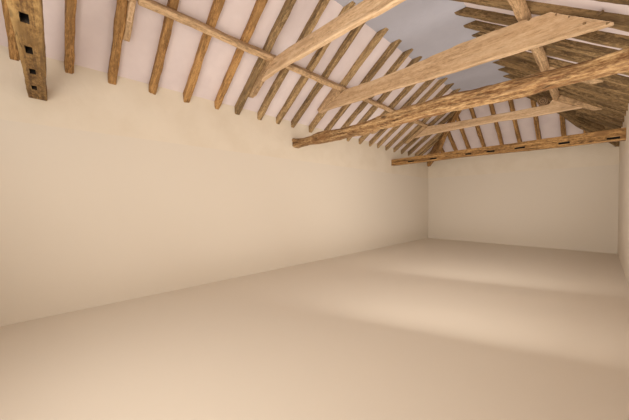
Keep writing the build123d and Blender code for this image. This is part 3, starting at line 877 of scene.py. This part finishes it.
def add_pegs(name, node, places):
    """The pegs of one timber, as one piece."""
    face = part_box(node)[0].y
    made = [peg(x, face, z, number) for number, (x, z) in enumerate(places)]
    bpy.ops.object.select_all(action="DESELECT")
    for each in made:
        each.select_set(True)
    bpy.context.view_layer.objects.active = made[0]
    bpy.ops.object.join()
    pegs = bpy.context.object
    pegs.name = name
    mark_timbers(pegs, seed=61)
    roughen(pegs, ALONG, reach=0.05, size=0.02, amount=0.002)
    smooth(pegs)
    finish_piece(pegs, oak(name + "_oak", ALONG, **PEG_TONES), "dark_oak")


add_pegs("collar_pegs", "collar_4", COLLAR_PEGS)
add_pegs("end_tie_pegs", "tie_beam_end", END_TIE_PEGS)


# Plaster panels, run a little into the timbers that they meet
TUCK = 0.012
FACING = 0.99  # cosine between the side of a panel and the way that it faces, at least
PANEL_SIDE = 0.4  # area of a panel's side, at most
PANELS = (
    ("lining_left", "plaster_lining_left", ALONG),
    ("lining_right", "plaster_lining_right", ALONG),
    ("lining_end", "plaster_lining_end", ACROSS),
    ("eaves_plaster_left", "plastered_eaves_plaster_left", ALONG),
    ("eaves_plaster_right", "plastered_eaves_plaster_right", ALONG),
    ("eaves_plaster_end", "plastered_eaves_plaster_end", ACROSS),
)


def tuck_in(piece, way):
    """Moves the sides of the panels that face one way into what they meet."""

    def is_side(face):
        return face.normal.dot(way) > FACING and face.area < PANEL_SIDE

    pick(piece, "polygons", is_side)
    edit_picked(piece)
    bpy.ops.transform.translate(value=way * TUCK)
    done()


def repaint(node, material):
    """Gives a new material to a node that keeps its shape."""
    nodes[node].data.materials.clear()
    nodes[node].data.materials.append(material)


def add_panels():
    lining = plaster("lining_plaster", (0.80, 0.71, 0.72), (0.74, 0.65, 0.665))
    wall = plaster("wall_plaster", (0.80, 0.715, 0.60), (0.765, 0.675, 0.555))
    ceiling = plaster("ceiling_plaster", (0.49, 0.495, 0.575), (0.465, 0.47, 0.545), relief=0.7)
    for node, name, sideways in PANELS:
        piece = copy_of(node, name)
        for way in (sideways, -sideways):
            tuck_in(piece, way)
        finish_piece(piece, lining if node.startswith("lining") else wall, "plaster", node)
    for node in ("wall_head_left", "wall_head_right", "wall_head_end"):
        repaint(node, wall)
    repaint("flat_ceiling", ceiling)


add_panels()


# Timbers seen only from outside
def add_hidden_timbers():
    sawn = dict(seed=41, wander=0.004, ease=0.006, step=0.2)
    for node, direction in (
        ("wall_plate_left", ALONG),
        ("wall_plate_right", ALONG),
        ("wall_plate_end", ACROSS),
        ("ridge_board", ALONG),
    ):
        hewn(node, direction, f"sawn_{node}", SAWN_TONES, "sawn_oak", **sawn)


add_hidden_timbers()


# Stage: a plain pale floor at the feet of the wall heads, sunk between them to the room's depth
FLOOR_SIZE = 60.0
FLOOR_COLOUR = (0.765, 0.69, 0.595)


def in_room(face):
    return abs(face.center.x) < ROOM_HALF and ROOM_NEAR < face.center.y < ROOM_FAR


def add_stage():
    look = Shader("stage_paint")
    look.dress(colour=opaque(FLOOR_COLOUR), rough=0.9)
    bpy.ops.object.select_all(action="DESELECT")
    bpy.ops.mesh.primitive_plane_add(size=FLOOR_SIZE)
    floor = bpy.context.object
    floor.name = "stage_floor"
    for place, normal in (
        ((ROOM_HALF, 0, 0), ACROSS),
        ((-ROOM_HALF, 0, 0), ACROSS),
        ((0, ROOM_NEAR, 0), ALONG),
        ((0, ROOM_FAR, 0), ALONG),
    ):
        edit_all(floor)
        bpy.ops.mesh.bisect(plane_co=place, plane_no=normal)
        done()
    pick(floor, "polygons", in_room)
    edit_picked(floor)
    bpy.ops.mesh.extrude_region_move(TRANSFORM_OT_translate={"value": (0, 0, -ROOM_DEPTH)})
    done()
    floor.data.materials.append(look.material)


add_stage()


# Soft light: the sky and a wide lamp outside, and wide lamps within the room
SKY_COLOUR = (1.0, 0.98, 0.96)
SKY_STRENGTH = 0.7
WARM = (1.0, 0.93, 0.83)

# Of each lamp: its name, its place, the point that it faces, its size, power and tint
LAMPS = (
    ("near_end_light", (0.9, -5.45, -0.75), (-0.5, 0.5, 0.9), (2.8, 1.3), 80, WARM),
    ("middle_light", (1.2, -2.5, -1.2), (-1.2, 4.0, 2.6), (2.0, 1.0), 36, WARM),
    ("far_light", (0.9, -0.35, -1.2), (-1.0, 5.0, 2.2), (2.4, 1.0), 31, WARM),
    ("floor_light", (-0.4, 0.3, -2.0), (-0.4, 0.3, 0), (3.0, 9.0), 22, (1.0, 0.94, 0.88)),
    ("side_light", (2.3, 0.0, -0.2), (-1.0, 0.0, 0.5), (8.5, 0.35), 25, (1.0, 0.92, 0.8)),
    ("outside_light", (-15, 7, 17), (0, 0, 0.8), (16, 16), 2500, (1.0, 0.98, 0.95)),
)


def add_lamp(name, place, toward, size, power, tint):
    """A soft rectangular lamp, hidden from the camera."""
    data = bpy.data.lights.new(name, "AREA")
    data.shape = "RECTANGLE"
    data.size, data.size_y = size
    data.energy = power
    data.color = tint
    lamp = bpy.data.objects.new(name, data)
    lamp.location = place
    lamp.rotation_euler = (Vector(toward) - Vector(place)).to_track_quat("-Z", "Y").to_euler()
    lamp.visible_camera = False
    scene.collection.objects.link(lamp)


def add_light():
    sky = bpy.data.worlds.new("sky")
    sky.use_nodes = True
    background = sky.node_tree.nodes["Background"]
    background.inputs["Color"].default_value = opaque(SKY_COLOUR)
    background.inputs["Strength"].default_value = SKY_STRENGTH
    scene.world = sky
    for lamp in LAMPS:
        add_lamp(*lamp)
    scene.view_settings.view_transform = "Standard"


add_light()
